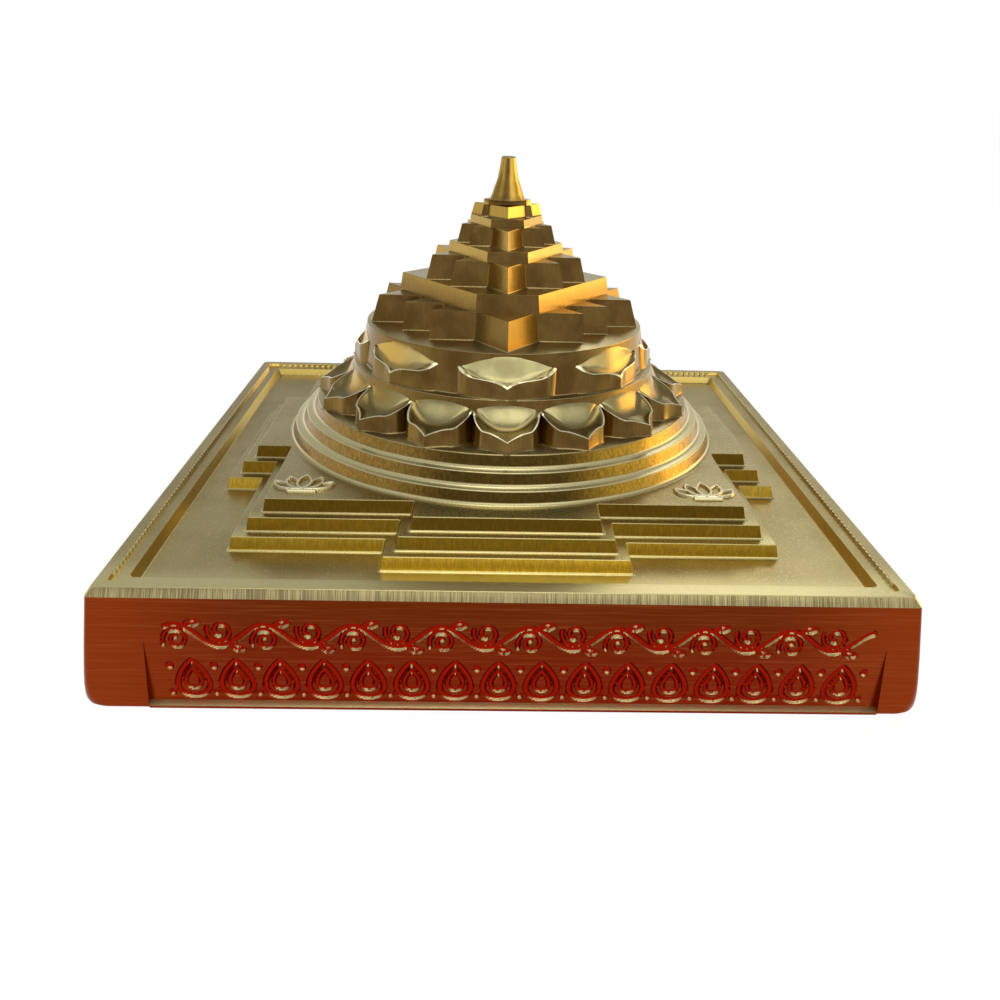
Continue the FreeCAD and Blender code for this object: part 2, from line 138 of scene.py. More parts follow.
# Base colours. Walls are darker than level faces and darken from the outer walk inwards, both painted shade,
# and pick up a painted warm light from both sides
# Wall tones, darker than the level faces: painted shade, with patches between them that differ at random
WALL_DARK = (0.11, 0.06, 0.016, 1)
WALL_PALE = (0.16, 0.095, 0.027, 1)
# Wall tones by tier, darkest on the inner girdle and brightest on the outer walk: painted shade deepening
# inwards
WALL_SHADES = (("inner_girdle", (0.06, 0.036, 0.007, 1)), ("inner_walk", (0.10, 0.055, 0.005, 1)),
              ("middle_walk", (0.18, 0.105, 0.008, 1)), ("outer_walk", (0.42, 0.28, 0.035, 1)))
# The front gate walls of the outer walk: a painted bright reflection
OUTER_GATE_REFLECTION = (0.66, 0.47, 0.06, 1)
# Petal walls that face sideways: a painted warm reflection
PETAL_FLANK_REFLECTION = (0.26, 0.17, 0.05, 1)
# Painted warm side light on walls facing left and right: duller and brighter tones, the brighter on the upper
# tiers
LEFT_GLOW = ((0.26, 0.155, 0.035, 1), (0.52, 0.33, 0.065, 1))
RIGHT_GLOW = ((0.46, 0.26, 0.03, 1), (0.90, 0.55, 0.095, 1))
LEVEL_TONES = ((0.50, 0.40, 0.165, 1), (0.60, 0.49, 0.22, 1))
# Bright specks on the level faces: painted glints
PAINTED_GLINTS = (0.85, 0.78, 0.45, 1)
# Level tops of the girdles: a painted highlight
GIRDLE_LEDGE_HIGHLIGHT = (0.85, 0.76, 0.40, 1)
# Level tops of the walks at the front: a painted highlight
FRONT_WALK_HIGHLIGHT = (0.95, 0.84, 0.38, 1)
# Dish faces that lean up are lighter and steeper ones darker: painted light and shade
DISH_LIT_AND_SHADED = ((0.58, 0.52, 0.25, 1), (0.24, 0.17, 0.055, 1))
DISH_CLOUD = (0.30, 0.25, 0.10, 1)
# Dish slopes that face sideways: a painted warm reflection
DISH_FLANK_REFLECTION = (0.60, 0.38, 0.08, 1)
# Rims of the dishes, the teeth and the raised sprig strokes: a painted highlight
RIM_HIGHLIGHT = (0.95, 0.87, 0.55, 1)
SIDE_REDS = ((0.20, 0.013, 0.003, 1), (0.14, 0.021, 0.003, 1))
SIDE_END = (0.25, 0.035, 0.005, 1)
SIDE_BRUSHED = (0.30, 0.075, 0.02, 1)
GROOVE_RED = (0.29, 0.007, 0.001, 1)
EDGE_BAND = ((0.20, 0.155, 0.065, 1), (0.50, 0.42, 0.21, 1))
# Upward-facing parts of the sides, such as the top edge and the lower lips of the carving: a painted
# highlight
EDGE_HIGHLIGHT = (0.75, 0.62, 0.34, 1)
# The back of the field: painted shade
FIELD_BACK_SHADE = (0.30, 0.20, 0.06, 1)
# The front of the field: a painted highlight
FIELD_FRONT_HIGHLIGHT = (0.95, 0.85, 0.42, 1)
RIM_INSIDE = ((0.7, 0.4, 0.05, 1), (1, 0.85, 0.25, 1))

# Lamps: name, place, aim, size, power and colour
DAYLIGHT = (1, 0.98, 0.92)
AMBER = (1, 0.62, 0.25)
LAMPS = (
    ("front_window", (0.066, -0.377, 0.32), (0, 0, 0.02), (0.35, 0.25), 0.2, DAYLIGHT),
    ("overhead", (0, 0, 0.5), (0, 0, 0.02), (0.2, 0.2), 0.25, DAYLIGHT),
    ("back_window", (0.175, 0.449, 0.337), (0.02, -0.03, 0.01), (0.2, 0.1), 0.11, DAYLIGHT),
    ("warm_side", (0.4, 0.12, 0.1), (0, 0, 0.03), (0.25, 0.2), 0.35, AMBER),
)


class Reading:
    """A value read over a surface. Sums and products of readings add the nodes that work them out."""

    def __init__(self, finish, socket):
        self.finish = finish
        self.socket = socket

    def combined(self, operation, *values):
        return self.finish.node("ShaderNodeMath", {"operation": operation}, dict(enumerate(values)))

    def __add__(self, other):
        return self.combined("ADD", self, other)

    def __sub__(self, other):
        return self.combined("SUBTRACT", self, other)

    def __rsub__(self, other):
        return self.combined("SUBTRACT", other, self)

    def __mul__(self, other):
        return self.combined("MULTIPLY", self, other)

    __radd__ = __add__
    __rmul__ = __mul__

    def __truediv__(self, other):
        return self.combined("DIVIDE", self, other)

    def __abs__(self):
        return self.combined("ABSOLUTE", self)

    def at_most(self, other):
        return self.combined("MINIMUM", self, other)

    def at_least(self, other):
        return self.combined("MAXIMUM", self, other)

    def rising(self, low, high):
        """0 below low, 1 above high and smooth between."""
        return self.finish.node("ShaderNodeMapRange", {"interpolation_type": "SMOOTHSTEP"},
                                {"Value": self, "From Min": low, "From Max": high})


class Finish:
    """A material under construction."""

    def __init__(self, name):
        self.material = bpy.data.materials.new(name)
        self.material.use_nodes = True
        self.tree = self.material.node_tree
        self.tree.nodes.clear()

    def node(self, kind, settings=None, sockets=None, output=0):
        made = self.tree.nodes.new(kind)
        for name, setting in (settings or {}).items():
            setattr(made, name, setting)
        for key, given in (sockets or {}).items():
            if isinstance(given, Reading):
                self.tree.links.new(given.socket, made.inputs[key])
            else:
                made.inputs[key].default_value = given
        return Reading(self, made.outputs[output]) if made.outputs else None

    def place(self):
        """The three readings of where a point lies on the object, in millimetres."""
        spot = self.node("ShaderNodeTexCoord", output=3)
        scaled = self.node("ShaderNodeVectorMath", {"operation": "SCALE"}, {0: spot, "Scale": 1 / MM})
        split = self.node("ShaderNodeSeparateXYZ", sockets={0: scaled}).socket.node
        return [Reading(self, split.outputs[axis]) for axis in "XYZ"]

    def lean(self):
        """The three parts of the surface's outward direction."""
        facing = self.node("ShaderNodeNewGeometry", output="Normal")
        split = self.node("ShaderNodeSeparateXYZ", sockets={0: facing}).socket.node
        return [Reading(self, split.outputs[axis]) for axis in "XYZ"]

    def grain(self, spot, pitches, detail=2.0, roughness=0.5):
        """Noise whose spots have the given pitch along each axis, in millimetres."""
        stretched = self.node("ShaderNodeCombineXYZ", sockets={
            axis: reading / pitch for axis, reading, pitch in zip("XYZ", spot, pitches)})
        return self.node("ShaderNodeTexNoise", sockets={
            "Vector": stretched, "Scale": 1.0, "Detail": detail, "Roughness": roughness})

    def blend(self, share, first, second):
        """A colour between two others."""
        return self.node("ShaderNodeMix", {"data_type": "RGBA"}, {0: share, 6: first, 7: second}, output=2)

    def metal(self, colour, roughness, height, depth):
        """Close the material as bare metal whose surface rises and falls by the height."""
        relief = self.node("ShaderNodeBump", sockets={
            "Height": height, "Distance": depth * MM, "Strength": 1.0})
        shader = self.node("ShaderNodeBsdfPrincipled", sockets={
            "Base Color": colour, "Metallic": 1.0, "Roughness": roughness, "Normal": relief})
        self.node("ShaderNodeOutputMaterial", sockets={"Surface": shader})
        return self.material


def level_brass(finish, spot, speckle):
    """The tone of level milled faces: olive gold with soft clouds and a fine sparkle of painted glints."""
    clouds = finish.grain(spot, (7.0, 7.0, 7.0), detail=3.0)
    tone = finish.blend(clouds.rising(0.35, 0.65), *LEVEL_TONES)
    return finish.blend(speckle.rising(0.52, 0.78), tone, PAINTED_GLINTS)


def satin_brass():
    """Milled brass: satin level faces with a fine speckle of painted glints, and walls with upright tool
    lines, darkened by painted shade and warmed by painted side light; dishes, rims and ledges carry painted
    light and shade.
    """
    finish = Finish("satin_brass")
    spot = finish.place()
    lean = finish.lean()
    level = lean[2].rising(0.38, 0.65)
    speckle = finish.grain(spot, (0.16, 0.16, 0.16), detail=3.0, roughness=0.6)
    lines = finish.grain(spot, (0.17, 0.17, 5.0), detail=1.5, roughness=0.5)
    patches = finish.grain(spot, (2.5, 2.5, 2.5), detail=2.0)

    def below(height):
        """1 under a height and 0 above it."""
        return spot[2].rising(height + 0.05, height - 0.05)

    def above(height):
        return spot[2].rising(height - 0.05, height + 0.05)

    # Front gate walls of the outer walk are made brighter: painted reflection.
    gate = below(head("outer_walk")) * (spot[1] * -1).rising(30.2, 30.4)
    # Walls take darker tones than the level faces: painted shade.
    wall = finish.blend(patches.rising(0.3, 0.7), WALL_DARK, WALL_PALE)
    # Walls darken tier by tier inwards: painted shade.
    for name, tone in WALL_SHADES:
        wall = finish.blend(below(head(name)), wall, tone)
    wall = finish.blend(gate, wall, OUTER_GATE_REFLECTION)
    girdles = below(head("inner_girdle") - 0.08)
    petals = above(head("inner_girdle") - 0.08) * below(head("eight_petal_tier"))
    drop = above(head("fourth_hexagon_tier"))
    # Walls facing left and right take a painted warm side light, stronger on the upper tiers and the summit.
    leftward, rightward = lean[0] * -1, lean[0]
    to_left = leftward.rising(0.35, 0.8).at_least(leftward.rising(0.2, 0.6) * girdles)
    to_left = to_left * (1 - petals * spot[0].rising(-10, -2))
    to_left = to_left.at_least(leftward.rising(0.1, 0.6) * drop)
    to_right = rightward.rising(0.45, 0.85).at_least(rightward.rising(0.2, 0.6) * girdles)
    to_right = to_right * (1 - petals * spot[0].rising(10, 2))
    to_right = to_right.at_least(rightward.rising(0.0, 0.35) * drop)
    upper = spot[2].rising(head("fourteen_point_tier"), head("outer_ten_point_tier") - 1)
    # Sideways-facing petal walls take a painted warm reflection.
    wall = finish.blend(petals * abs(lean[0]).rising(0.4, 0.8), wall, PETAL_FLANK_REFLECTION)
    wall = finish.blend(to_left, wall, finish.blend(upper, *LEFT_GLOW))
    wall = finish.blend(to_right, wall, finish.blend(upper, *RIGHT_GLOW))
    line_depth = 0.15 + girdles * (0.2 + above(head("inner_walk")) * 0.3)
    wall = finish.node("ShaderNodeVectorMath", {"operation": "SCALE"}, {
        0: wall, "Scale": 0.85 + lines.rising(0.3, 0.8) * line_depth})

    flat = level_brass(finish, spot, speckle)
    # Level tops of the girdles get a painted highlight.
    flat = finish.blend(above(head("inner_walk") + 0.1) * girdles, flat, GIRDLE_LEDGE_HIGHLIGHT)
    # Level tops of the walks towards the front get a painted highlight.
    front = (spot[1] * -1).rising(24, 28) * below(head("inner_walk") + 0.1)
    flat = finish.blend(front * 0.75, flat, FRONT_WALK_HIGHLIGHT)
    colour = finish.blend(level, wall, flat)

    scooped = finish.node("ShaderNodeAttribute", {"attribute_name": "scooped"}, output="Fac")
    # Dish faces are lighter as they lean up: painted light and shade.
    dish = finish.blend(lean[2].rising(0.55, 0.92), *DISH_LIT_AND_SHADED)
    dish = finish.blend(patches.rising(0.35, 0.65) * 0.5, dish, DISH_CLOUD)
    # Sideways-facing dish slopes take a painted warm reflection.
    dish = finish.blend(abs(lean[0]).rising(0.35, 0.8), dish, DISH_FLANK_REFLECTION)
    # Faces marked above 1 (rims, teeth, sprig tops) get a painted highlight.
    dish = finish.blend(scooped.rising(1.2, 1.8), dish, RIM_HIGHLIGHT)
    colour = finish.blend(scooped.at_most(1), colour, dish)
    roughness = 0.2 + level * 0.05 + speckle * 0.06
    height = level * speckle + (1 - level) * lines
    return finish.metal(colour, roughness, height, 0.006)


def plinth_brass():
    """The plinth: satin brass above, and sides brushed along their length with a deep red tone."""
    finish = Finish("plinth_brass")
    spot = finish.place()
    lean = finish.lean()
    across = abs(spot[0]).at_least(abs(spot[1]))
    outside = across.rising(37.6, 37.8)
    level = (1 - outside).at_least(lean[2].rising(0.55, 0.8))
    speckle = finish.grain(spot, (0.18, 0.18, 0.18), detail=3.0, roughness=0.6)
    brushing = finish.grain(spot, (9.0, 9.0, 0.12), detail=3.0, roughness=0.65)
    along_edge = abs(spot[0]).at_most(abs(spot[1]))
    scratches = finish.grain((along_edge, along_edge, spot[2]), (0.09, 50, 4.0), detail=2.0, roughness=0.6)
    near_end = along_edge.rising(22.0, 40.0)
    side = finish.blend(spot[2].rising(1.0, 11.0), *SIDE_REDS)
    side = finish.blend(near_end, side, SIDE_END)
    side = finish.blend(brushing.rising(0.45, 0.8) * 0.6, side, SIDE_BRUSHED)
    band = finish.blend(scratches.rising(0.35, 0.7), *EDGE_BAND)
    side = finish.blend(spot[2].rising(11.12, 11.18), side, band)
    groove = finish.node("ShaderNodeAttribute", {"attribute_name": "carved"}, output="Fac")
    side = finish.blend(groove, side, GROOVE_RED)
    # Upward-facing parts of the sides get a painted highlight.
    side = finish.blend(lean[2].rising(0.6, 0.75), side, EDGE_HIGHLIGHT)
    flat = level_brass(finish, spot, speckle)
    # The field darkens towards the back: painted shade.
    flat = finish.blend(spot[1].rising(-12, 14) * 0.3, flat, FIELD_BACK_SHADE)
    # The field brightens along its front: painted highlight.
    flat = finish.blend((spot[1] * -1).rising(31, 36) * 0.8, flat, FIELD_FRONT_HIGHLIGHT)
    inner = finish.blend(lean[2].rising(0.4, 0.85), finish.blend(speckle, *RIM_INSIDE), flat)
    colour = finish.blend(level, side, inner)
    roughness = 0.25 + level * 0.04 + speckle * 0.06
    height = level * speckle + (1 - level) * brushing
    return finish.metal(colour, roughness, height, 0.006)


def plain_floor():
    """The floor: matt and pale, white to the camera and in reflections, with the object's soft shadow."""
    finish = Finish("pale_floor")
    paper = finish.node("ShaderNodeBsdfPrincipled", sockets={
        "Base Color": (0.9, 0.9, 0.9, 1), "Roughness": 0.9, "Specular IOR Level": 0.1})
    white = finish.node("ShaderNodeEmission", sockets={"Color": (1, 1, 1, 1), "Strength": 1.08})
    path = finish.node("ShaderNodeLightPath").socket.node
    seen = Reading(finish, path.outputs["Is Camera Ray"])
    for kind in ("Is Glossy Ray", "Is Transmission Ray"):
        seen = seen.at_least(Reading(finish, path.outputs[kind]))
    surface = finish.node("ShaderNodeMixShader", sockets={0: seen * 0.86, 1: paper, 2: white})
    finish.node("ShaderNodeOutputMaterial", sockets={"Surface": surface})
    return finish.material


def limited(value):
    return min(1, max(0, value))


def eased(share):
    """A share from 0 to 1 that leaves and arrives gently."""
    return share * share * (3 - 2 * share)


def cove_spread(size, rise):
    """How far a round cove stands out from its wall at a share of its height."""
    return size * (1 - math.sqrt(1 - (1 - rise) ** 2))


def foot(name):
    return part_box(name)[0][2] / MM


def head(name):
    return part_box(name)[1][2] / MM


def block_half():
    """Half the width of the block at its foot."""
    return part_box("plinth")[1][0] / MM + 0.05


def as_mesh(name, shape):
    data = bpy.data.meshes.new(name)
    shape.to_mesh(data)
    shape.free()
    return data


def placed(name, data):
    made = bpy.data.objects.new(name, data)
    bpy.context.scene.collection.objects.link(made)
    return made


def close(shape):
    """Close the open borders of a shape and turn its faces outward."""
    bmesh.ops.holes_fill(shape, edges=[edge for edge in shape.edges if edge.is_boundary], sides=0)
    bmesh.ops.recalc_face_normals(shape, faces=shape.faces)


def walled(shape):
    """Give an open sheet walls along its border, and return their new lower corners."""
    border = [edge for edge in shape.edges if edge.is_boundary]
    made = bmesh.ops.extrude_edge_only(shape, edges=border)["geom"]
    return [item for item in made if isinstance(item, bmesh.types.BMVert)]


def turn_round(shape, share):
    """Turn a shape about the object's upright axis by a share of a full turn."""
    bmesh.ops.rotate(shape, verts=shape.verts, cent=(0, 0, 0),
                     matrix=Matrix.Rotation(math.tau * share, 3, "Z"))


def finished(name, shape, material, slot, *replaced, crease=30, even=False):
    """Close a shape that was worked out in millimetres as a piece of the object."""
    for face in shape.faces:
        face.smooth = True
    bmesh.ops.scale(shape, vec=(MM, MM, MM), verts=shape.verts)
    data = as_mesh(name, shape)
    data.set_sharp_from_angle(angle=math.radians(crease))
    data.materials.append(material)
    piece = placed(name, data)
    if even:
        keep_faces_even(piece)
    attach(piece, "root")
    if replaced:
        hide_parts(*replaced)
    return piece


def keep_faces_even(piece):
    """Let large faces keep their own direction and small edge faces take up the turn."""
    shading = piece.modifiers.new("even_faces", "WEIGHTED_NORMAL")
    shading.keep_sharp = True


def break_edges(shape, edges, width, segments=2):
    bmesh.ops.bevel(shape, geom=edges, offset=width, offset_type="OFFSET", segments=segments,
                    affect="EDGES", profile=0.5, material=-1)


def outward(vertex):
    """The level direction away from the walls that meet at a corner of the foot."""
    walls = []
    for face in vertex.link_faces:
        facing = Vector((face.normal.x, face.normal.y, 0))
        if abs(face.normal.z) < STEEP and facing.length > 0:
            facing.normalize()
            if all(facing.dot(known) < 0.999 for known in walls):
                walls.append(facing)
    if not walls:
        return Vector()
    if len(walls) == 1:
        return walls[0]
    total = walls[0] + walls[1]
    return total / max(1 + walls[0].dot(walls[1]), 0.3)


def cove_foot(shape, low, size, support):
    """Leave the hollow of a round-nosed cutter along the foot, where the tier below carries it."""
    for share in (1, 0.55, 0.3, 0.12, 0):
        bmesh.ops.bisect_plane(shape, geom=shape.verts[:] + shape.edges[:] + shape.faces[:],
                               plane_co=UP * (low + share * size), plane_no=UP, dist=WELD)
    shape.normal_update()
    below = bmesh.new()
    below.from_mesh(nodes[support].data)
    carried = BVHTree.FromBMesh(below)
    moves = {}
    for vertex in shape.verts:
        rise = max(0, (vertex.co.z - low) / size)
        on_wall = any(abs(face.normal.z) < STEEP for face in vertex.link_faces)
        if rise > 0.99 or vertex.co.z < low - SINK / 2 or not on_wall:
            continue
        direction = outward(vertex)
        landing = Vector((vertex.co.x, vertex.co.y, low)) + direction * size
        if carried.find_nearest(landing * MM)[3] < 0.02 * MM:
            moves[vertex] = direction * cove_spread(size, rise)
    for vertex, move in moves.items():
        vertex.co += move
    below.free()


def edges_turning(shape, low, least, most, upright=False):
    """The edges above the foot whose faces turn by an angle between least and most, in degrees."""
    found = []
    for edge in shape.edges:
        first, second = (vertex.co for vertex in edge.verts)
        turn = math.degrees(edge.calc_face_angle_signed()) if len(edge.link_faces) == 2 else 0
        steep = abs(first.z - second.z) > 0.5 * (first - second).length
        if least < turn < most and max(first.z, second.z) > low + WELD and (steep or not upright):
            found.append(edge)
    return found


def dress(shape, name, edge, corner, cove):
    """Break the sharp edges of a tier, round its inner corners and cove its foot."""
    low = foot(name)
    bmesh.ops.recalc_face_normals(shape, faces=shape.faces)
    break_edges(shape, edges_turning(shape, low, -170, -15, upright=True), corner, segments=3)
    break_edges(shape, edges_turning(shape, low, 30, 170), edge)
    for vertex in shape.verts:
        if vertex.co.z < low + WELD:
            vertex.co.z = low - SINK
    cove_foot(shape, low, cove, SUPPORTS[name])
    bmesh.ops.recalc_face_normals(shape, faces=shape.faces)
    return shape


def plain_copy(name):
    """The shape of a tier in millimetres, with whole faces in place of triangles."""
    shape = bmesh.new()
    shape.from_mesh(nodes[name].data)
    bmesh.ops.scale(shape, vec=(1 / MM,) * 3, verts=shape.verts)
    bmesh.ops.remove_doubles(shape, verts=shape.verts, dist=WELD)
    bmesh.ops.dissolve_limit(shape, angle_limit=math.radians(1.5), verts=shape.verts, edges=shape.edges)
    return shape


def outline(name, height):
    """The spots round a tier at a height, anticlockwise from its front."""
    shape = plain_copy(name)
    level = [face for face in shape.faces
             if abs(face.normal.z) > 0.99 and abs(face.calc_center_median().z - height) < 0.01]
    widest = max(level, key=lambda face: face.calc_area())
    spots = [vertex.co.xy.to_3d() for vertex in widest.verts]
    if widest.normal.z < 0:
        spots.reverse()
    shape.free()
    return spots


def straightened(spots, others):
    """The outline with its walls run on to meet at each inner corner, where the core stands out."""
    kept = list(spots)
    for spot in spots:
        if all((spot - other).length > 0.02 for other in others):
            continue
        at = kept.index(spot)
        kept = kept[at:] + kept[:at]
        _, after, beyond = kept[:3]
        before, previous = kept[-2:]
        meeting = intersect_line_line(before, previous, after, beyond)
        kept = [meeting[0], *kept[2:-1]]
    front = min(range(len(kept)), key=lambda index: (round(kept[index].y, 1), kept[index].x))
    return kept[front:] + kept[:front]


def star(name):
    """A star or hexagon tier with clean inner corners."""
    low, high = foot(name), head(name)
    top, base = outline(name, high), outline(name, low)
    top, base = straightened(top, base), straightened(base, top)
    if name == "fourteen_point_tier":
        for spot, below in zip(top, base):
            if 7 < abs(spot.x) < 11.5 and abs(spot.x - below.x) > 0.6:
                spot.x += 0.75 * (below.x - spot.x)
    if name == "first_hexagon_tier":
        for spot in top + base:
            if abs(spot.x) < 5:
                spot.x *= 0.93
    shape = bmesh.new()
    face = shape.faces.new([shape.verts.new(spot + UP * low) for spot in base])
    face = bmesh.ops.extrude_discrete_faces(shape, faces=[face])["faces"][0]
    for vertex in face.verts:
        nearest = min(range(len(base)), key=lambda index: (base[index] - vertex.co.xy.to_3d()).length)
        vertex.co = top[nearest] + UP * high
    close(shape)
    return shape


def turned(profile, steps=180):
    """A closed round shape turned from spots of reach and height that start and end on the axis."""
    shape = bmesh.new()
    spots = [shape.verts.new((reach, 0, height)) for reach, height in profile]
    line = [shape.edges.new(pair) for pair in zip(spots, spots[1:])]
    bmesh.ops.spin(shape, geom=spots + line, cent=(0, 0, 0), axis=(0, 0, 1), dvec=(0, 0, 0),
                   angle=math.tau, steps=steps, use_merge=True, use_duplicate=False)
    bmesh.ops.remove_doubles(shape, verts=shape.verts, dist=WELD / 10)
    bmesh.ops.recalc_face_normals(shape, faces=shape.faces)
    return shape


def round_wall(low, high, foot_reach, top_reach, cove, edge):
    """The profile of a round tier: a cove at the foot, a sloping wall and a softened top edge."""
    slope = (foot_reach - top_reach) / (high - low)
    profile = [(0, low - SINK), (foot_reach + cove, low - SINK)]
    for step in (0, 0.12, 0.3, 0.6, 1):
        profile.append((foot_reach - slope * cove * step + cove_spread(cove, step), low + cove * step))
    for rise in (cove + 0.05, high - low - edge - 0.04):
        profile.append((foot_reach - slope * rise, low + rise))
    profile += [(top_reach + slope * edge, high - edge), (top_reach - edge * 0.3, high - edge * 0.3),
                (top_reach - edge, high), (0, high)]
    return profile


def make_girdles():
    """Three round ledges with sloping walls."""
    for name in GIRDLES:
        low, high = foot(name), head(name)
        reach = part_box(name)[1][0] / MM
        top = reach - (high - low) * GIRDLE_DRAFT
        shape = turned(round_wall(low, high, reach, top, GIRDLE_COVE, GIRDLE_EDGE), steps=240)
        finished(f"{name}_milled", shape, brass, "satin_brass", name)


def joined(first, second):
    """Add the second shape to the first."""
    data = as_mesh("part", second)
    first.from_mesh(data)
    bpy.data.meshes.remove(data)


def along(stops, spot):
    """The value at a spot between stops."""
    for (start, low), (end, high) in zip(stops, stops[1:]):
        if spot <= end:
            return low + (high - low) * (spot - start) / (end - start)
    return stops[-1][1]


def smooth_line(spots, count):
    """Points spread evenly in parameter along a smooth curve through the spots."""
    padded = [2 * Vector(spots[0]) - Vector(spots[1]), *map(Vector, spots),
              2 * Vector(spots[-1]) - Vector(spots[-2])]
    line = []
    for step in range(count + 1):
        place = step / count * (len(spots) - 1)
        index = min(int(place), len(spots) - 2)
        share = place - index
        a, b, c, d = padded[index:index + 4]
        line.append(0.5 * (2 * b + (c - a) * share + (2 * a - 5 * b + 4 * c - d) * share ** 2
                           + (3 * b - a - 3 * c + d) * share ** 3))
    return line


def lowered(shape, ring, places):
    """Carry an open border on to new places and return the new border in the same order."""
    border = [edge for edge in shape.edges if edge.is_boundary]
    made = set(bmesh.ops.extrude_edge_only(shape, edges=border)["geom"])
    fresh = []
    for vertex, place in zip(ring, places):
        below = next(edge.other_vert(vertex) for edge in vertex.link_edges if edge.other_vert(vertex) in made)
        below.co = place
        fresh.append(below)
    return fresh


def mitred(spots):
    """The level outward direction at each spot of an anticlockwise outline, lengthened at its corners."""
    directions = []
    for index, spot in enumerate(spots):
        before = (spot - spots[index - 1]).normalized()
        after = (spots[(index + 1) % len(spots)] - spot).normalized()
        total = Vector((before.y + after.y, -before.x - after.x, 0))
        directions.append(total / max(1 + before.dot(after), 0.3))
    return directions


def make_petal(low, side, wall, crown, arch, centre, floor, fall, spread, rim, flare):
    """One lotus petal that points to the front, scooped into a dish.

    The side runs from the drum to the tip. The rim follows it at the crown's height. The dish falls
    to its floor from the rim, and from an arch on the wall of the drum.
    """
    half = smooth_line(side, PETAL_SIDE_STEPS)
    wide = 0.97 * half[0].x

    def arched(across):
        return arch[0] - arch[1] * across ** 2

    def back_spot(across):
        reach = wall[0] - wall[1] * arched(across) - rim
        return Vector((across, -math.sqrt(reach ** 2 - across ** 2), 0))

    def edge_height(spot):
        reach = math.hypot(spot.x, spot.y)
        drum = wall[0] - wall[1] * arched(spot.x)
        share = limited((reach - drum - 0.06) / 0.5)
        return arched(spot.x) * (1 - share) + along(crown, reach) * share

    def hollow(spot):
        reach = math.hypot(spot.x, spot.y)
        drum = wall[0] - wall[1] * arch[0]
        share = limited((reach - drum) / (centre - drum))
        turn = -arch[1] + (spread + arch[1]) * eased(share)
        rise = (arch[0] - floor - fall * (centre - drum)) * (1 - share) ** 2
        return floor - fall * (reach - centre) + rise + turn * spot.x ** 2

    left = [Vector((-spot.x, -spot.y, 0)) for spot in half]
    right = [Vector((spot.x, -spot.y, 0)) for spot in reversed(half[:-1])]
    back = [back_spot(wide * (1 - 2 * step / PETAL_BACK_STEPS)) for step in range(PETAL_BACK_STEPS + 1)]
    shape = bmesh.new()
    ring = [shape.verts.new(spot) for spot in left + right + back]
    directions = mitred([vertex.co for vertex in ring])
    middle = Vector((0, -centre, 0))
    face = shape.faces.new(ring)
    face = bmesh.ops.extrude_discrete_faces(shape, faces=[face])["faces"][0]
    for vertex in face.verts:
        nearest = min(range(len(ring)), key=lambda index: (ring[index].co - vertex.co).length)
        ray = vertex.co - middle
        facing = max(0.5, ray.normalized().dot(directions[nearest].normalized()))
        vertex.co = middle + ray * (1 - rim / facing / ray.length)
    rings = [(list(face.verts), 1.0)]
    for step in range(1, DISH_RINGS):
        face = bmesh.ops.extrude_discrete_faces(shape, faces=[face])["faces"][0]
        for vertex in face.verts:
            vertex.co = middle + (vertex.co - middle) * ((DISH_RINGS - step) / (DISH_RINGS - step + 1))
        rings.append((list(face.verts), 1 - step / DISH_RINGS))
    deepest = bmesh.ops.poke(shape, faces=[face])["verts"][0]
    held = set(ring) | set(rings[0][0])
    for spots, share in rings:
        for vertex in spots:
            edge = middle + (vertex.co - middle) / share
            pull = share ** 5
            vertex.co.z = hollow(vertex.co) * (1 - pull) + edge_height(edge) * pull
    deepest.co = middle + UP * floor
    inside = [vertex for vertex in shape.verts if vertex not in held]
    for _ in range(3):
        bmesh.ops.smooth_vert(shape, verts=inside, factor=0.5,
                              use_axis_x=True, use_axis_y=True, use_axis_z=True)
    for vertex in inside:
        reach = math.hypot(vertex.co.x, vertex.co.y)
        grow = max(1, (wall[0] - wall[1] * vertex.co.z + 0.03) / reach)
        vertex.co.x *= grow
        vertex.co.y *= grow
    for vertex in ring:
        vertex.co.z = along(crown, math.hypot(vertex.co.x, vertex.co.y))
    # Faces along the rim are marked 2, for a painted highlight; the rest of the dish 1.
    scooped = shape.faces.layers.float.new("scooped")
    border = set(ring)
    for face in shape.faces:
        face[scooped] = 2 if any(vertex in border for vertex in face.verts) else 1
    tops = [vertex.co.copy() for vertex in ring]
    count = len(left) + len(right)
    for height, cove in PETAL_FEET:
        places = []
        for index, (spot, direction) in enumerate(zip(tops, directions)):
            spread = flare * (spot.z - height) + cove if index < count else 0
            places.append(Vector((spot.x, spot.y, height)) + direction * spread)
        ring = lowered(shape, ring, places)
    close(shape)
    for face in shape.faces:
        if min(vertex.co.z for vertex in face.verts) < 0.3:
            face[scooped] = 0
    bmesh.ops.translate(shape, verts=shape.verts, vec=UP * low)
    return shape


def make_petal_ring(name, count, petal):
    """A drum ringed with lotus petals."""
    low, high = foot(name), head(name)
    reach, slope = petal["wall"]
    ring = turned(round_wall(low, high, reach, reach - slope * (high - low), 0.2, 0.07), steps=192)
    ring.faces.layers.float.new("scooped")
    for number in range(count):
        shape = make_petal(low, **petal)
        turn_round(shape, number / count)
        joined(ring, shape)
    finished(f"{name}_milled", ring, brass, "satin_brass", name, crease=35)


def make_petals():
    make_petal_ring("sixteen_petal_tier", 16, SIXTEEN_PETALS)
    make_petal_ring("eight_petal_tier", 8, EIGHT_PETALS)


def make_walks():
    for name in WALKS:
        shape = dress(plain_copy(name), name, *WALK_EDGES)
        finished(f"{name}_milled", shape, brass, "satin_brass", name, even=True)


def make_star_tiers():
    for name in SUPPORTS:
        if name not in WALKS:
            shape = dress(star(name), name, *STAR_EDGES)
            finished(f"{name}_milled", shape, brass, "satin_brass", name, even=True)


